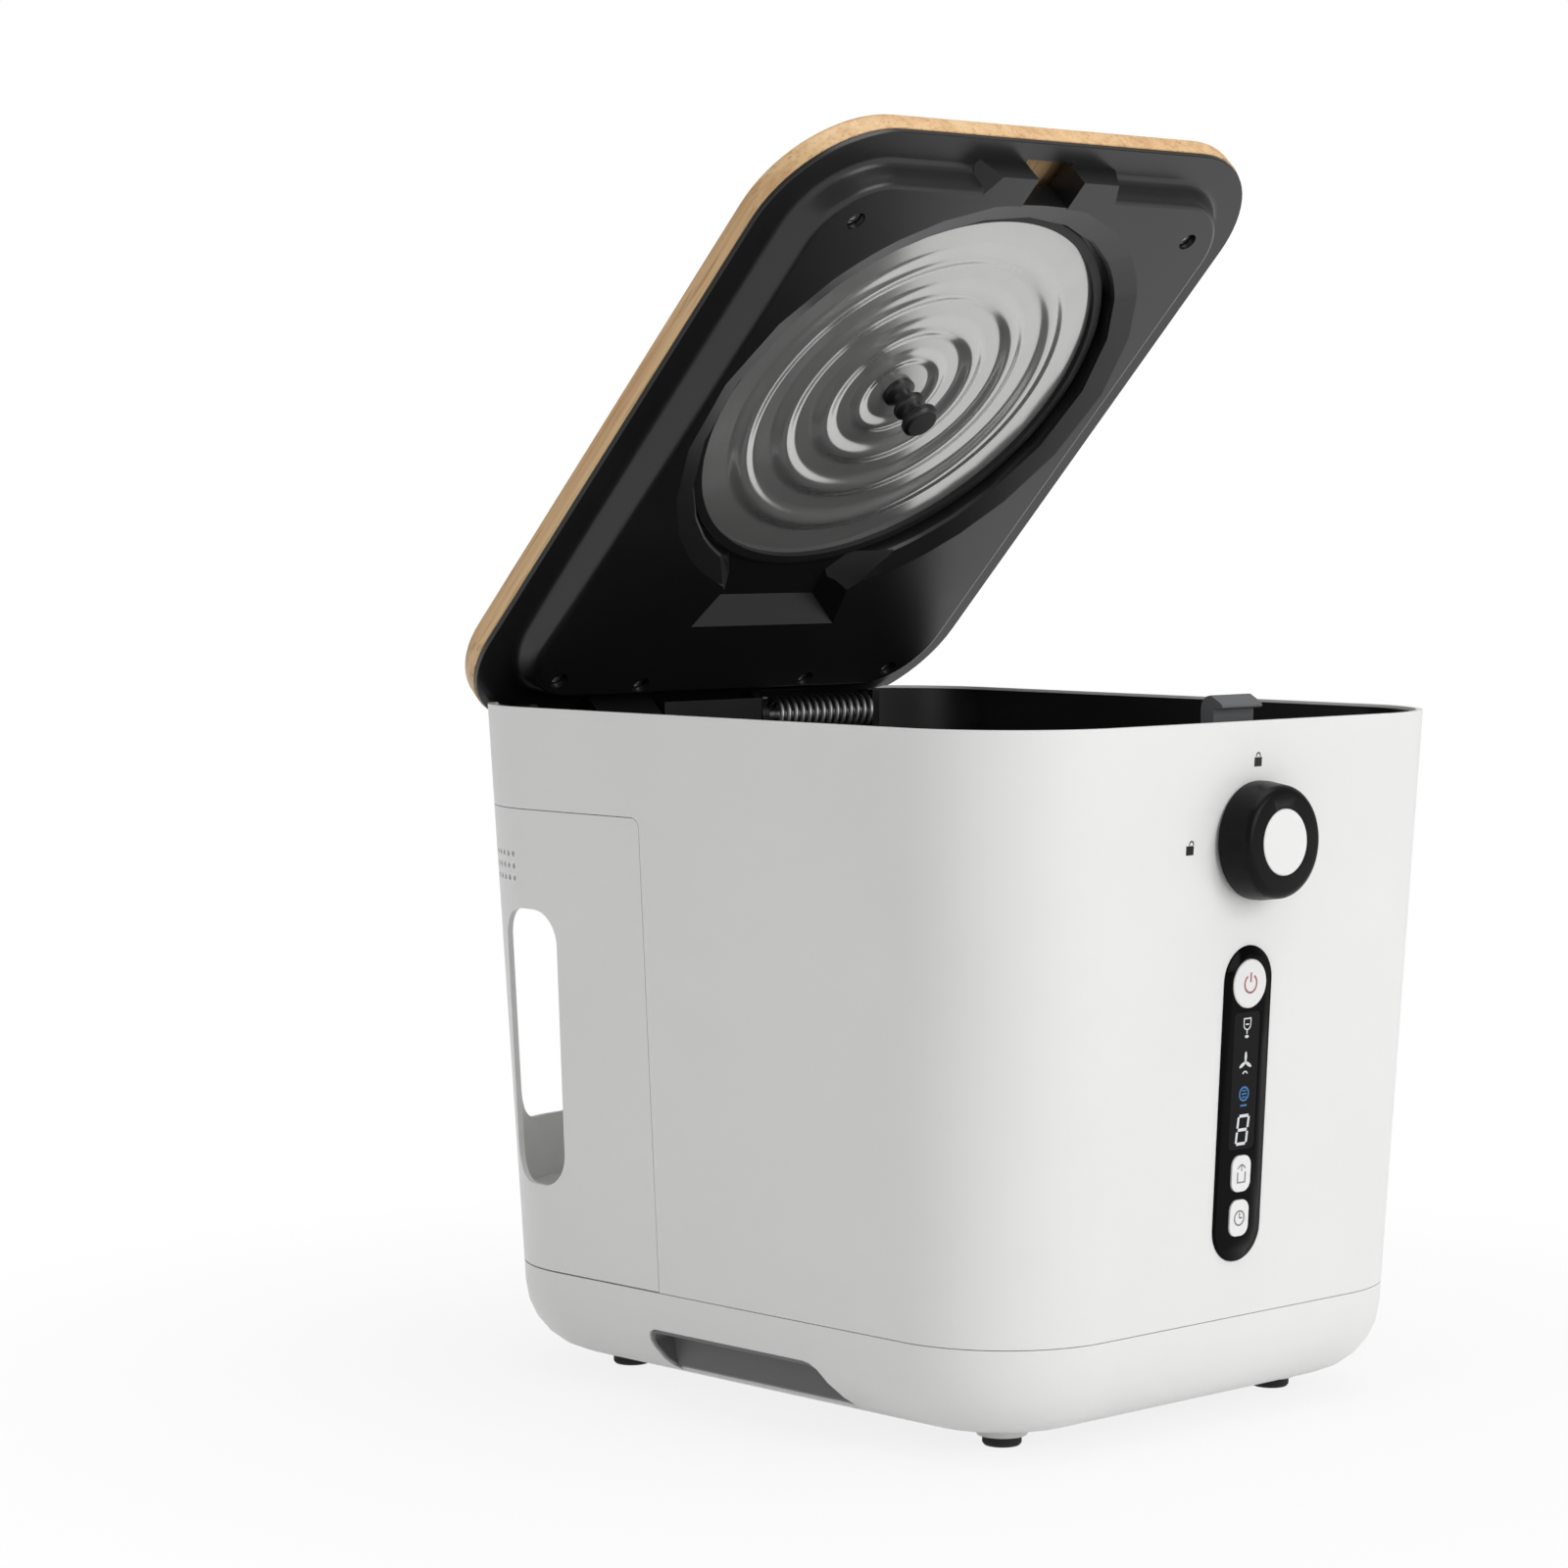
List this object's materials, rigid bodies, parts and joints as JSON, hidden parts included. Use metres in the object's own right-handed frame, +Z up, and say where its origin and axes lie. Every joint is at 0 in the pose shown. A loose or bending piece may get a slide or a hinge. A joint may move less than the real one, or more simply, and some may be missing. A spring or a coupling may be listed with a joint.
{
  "type": "electric food waste composter",
  "caption": "White tapered electric kitchen composter with a raised wood-grain lid, lock knob, control strip and pull-out corner filter",
  "frame": {"origin": "bottom centre of the box around the part with its lid open", "axes": "+X to the right seen from the front, +Y to the back, +Z up"},
  "size_m": [0.27, 0.3441, 0.4993],
  "materials": {
    "white_plastic": "satin white moulded plastic",
    "wood": "light wood-grain foil, satin",
    "black_plastic": "fine matte black",
    "gloss_black": "gloss black",
    "grey_plastic": "matte grey",
    "dark_grey_plastic": "matte dark grey",
    "natural_plastic": "unfilled nylon",
    "steel": "bright zinc-plated steel",
    "polished_steel": "polished stainless steel",
    "spring_steel": "dark oiled spring wire",
    "aluminium": "pressed sheet",
    "coated_aluminium": "dark non-stick coating",
    "gasket": "silicone rubber",
    "feet": "matte rubber",
    "board": "lacquered circuit board",
    "carbon": "packed carbon granules",
    "brass_part": "turned brass",
    "glass": "smoked clear window"
  },
  "bodies": {
    "housing": {"base_pan": "white_plastic", "rubber_feet": "feet", "grip_liners": "grey_plastic", "outer_shell": "white_plastic", "inner_frame": "black_plastic", "filter_bay": "dark_grey_plastic", "chassis_plate": "steel", "heater_well": "aluminium", "heating_ring": "dark_grey_plastic", "gearbox_housing": "grey_plastic", "motor": "steel", "bucket": "coated_aluminium", "fan_housing": "dark_grey_plastic", "fan_motor": "steel", "exhaust_duct": "dark_grey_plastic", "main_board": "board", "power_inlet": "black_plastic", "inlet_pins": "steel", "control_bezel": "gloss_black", "display_window": "glass", "display_board": "board", "latch_guide": "dark_grey_plastic", "hinge_bracket": "black_plastic", "hinge_pin": "steel", "lid_spring": "spring_steel", "hinge_damper": "black_plastic", "base_screws": "steel"},
    "lid": {"hinge_arms": "black_plastic", "lid_cover": "wood", "lid_liner": "black_plastic", "lid_disc": "polished_steel", "lid_gasket": "gasket", "lid_hub": "black_plastic", "latch_keeper": "steel", "lid_screws": "steel"},
    "knob": {"knob_body": "black_plastic", "knob_cap": "white_plastic", "knob_shaft": "natural_plastic"},
    "latch": {"latch_hook": "grey_plastic"},
    "power_key": {"power_button": "white_plastic"},
    "mode_key": {"mode_button": "white_plastic"},
    "timer_key": {"timer_button": "white_plastic"},
    "filter": {"corner_cover": "white_plastic", "filter_case": "dark_grey_plastic", "filter_base_plate": "dark_grey_plastic", "filter_carbon": "carbon"},
    "mixer": {"stirrer": "coated_aluminium", "drive_shaft": "steel", "drive_gear": "natural_plastic"},
    "pinion": {"motor_pinion": "brass_part"},
    "fan": {"fan_impeller": "black_plastic"}
  },
  "joints": [
    {"name": "lid_hinge", "type": "hinge", "parent": "housing", "child": "lid", "pos_m": [0, 0.15, 0.2615], "axis": [1, 0, 0], "range_deg": [0, 46], "stiffness_Nm_per_rad": 0.5, "springref_deg": -171.89},
    {"name": "knob_turn", "type": "hinge", "parent": "housing", "child": "knob", "pos_m": [0, -0.1566, 0.227], "axis": [0, 1, 0], "range_deg": [0, 90]},
    {"name": "latch_slide", "type": "slide", "parent": "housing", "child": "latch", "axis": [0, -1, 0], "range_m": [0, 0.0045]},
    {"name": "power_press", "type": "slide", "parent": "housing", "child": "power_key", "axis": [0, 0.9985, 0.0542], "range_m": [0, 0.001], "stiffness_N_per_m": 150, "springref_m": -0.001},
    {"name": "mode_press", "type": "slide", "parent": "housing", "child": "mode_key", "axis": [0, 0.9985, 0.0542], "range_m": [0, 0.001], "stiffness_N_per_m": 150, "springref_m": -0.001},
    {"name": "timer_press", "type": "slide", "parent": "housing", "child": "timer_key", "axis": [0, 0.9985, 0.0542], "range_m": [0, 0.001], "stiffness_N_per_m": 150, "springref_m": -0.001},
    {"name": "filter_pull", "type": "slide", "parent": "housing", "child": "filter", "axis": [-0.7071, 0.7071, 0], "range_m": [0, 0.12]},
    {"name": "mixer_spin", "type": "hinge", "parent": "housing", "child": "mixer", "pos_m": [0, -0.03, 0.1], "axis": [0, 0, 1], "continuous": true},
    {"name": "pinion_spin", "type": "hinge", "parent": "housing", "child": "pinion", "pos_m": [0.0375, -0.03, 0.033], "axis": [0, 0, 1], "continuous": true},
    {"name": "fan_spin", "type": "hinge", "parent": "housing", "child": "fan", "pos_m": [0.068, 0.104, 0.19], "axis": [0, 0, 1], "continuous": true}
  ],
  "couplings": [
    {"joint": "latch_slide", "follows": "knob_turn", "m_per_rad": 0.0028648},
    {"joint": "pinion_spin", "follows": "mixer_spin", "ratio": -4}
  ]
}
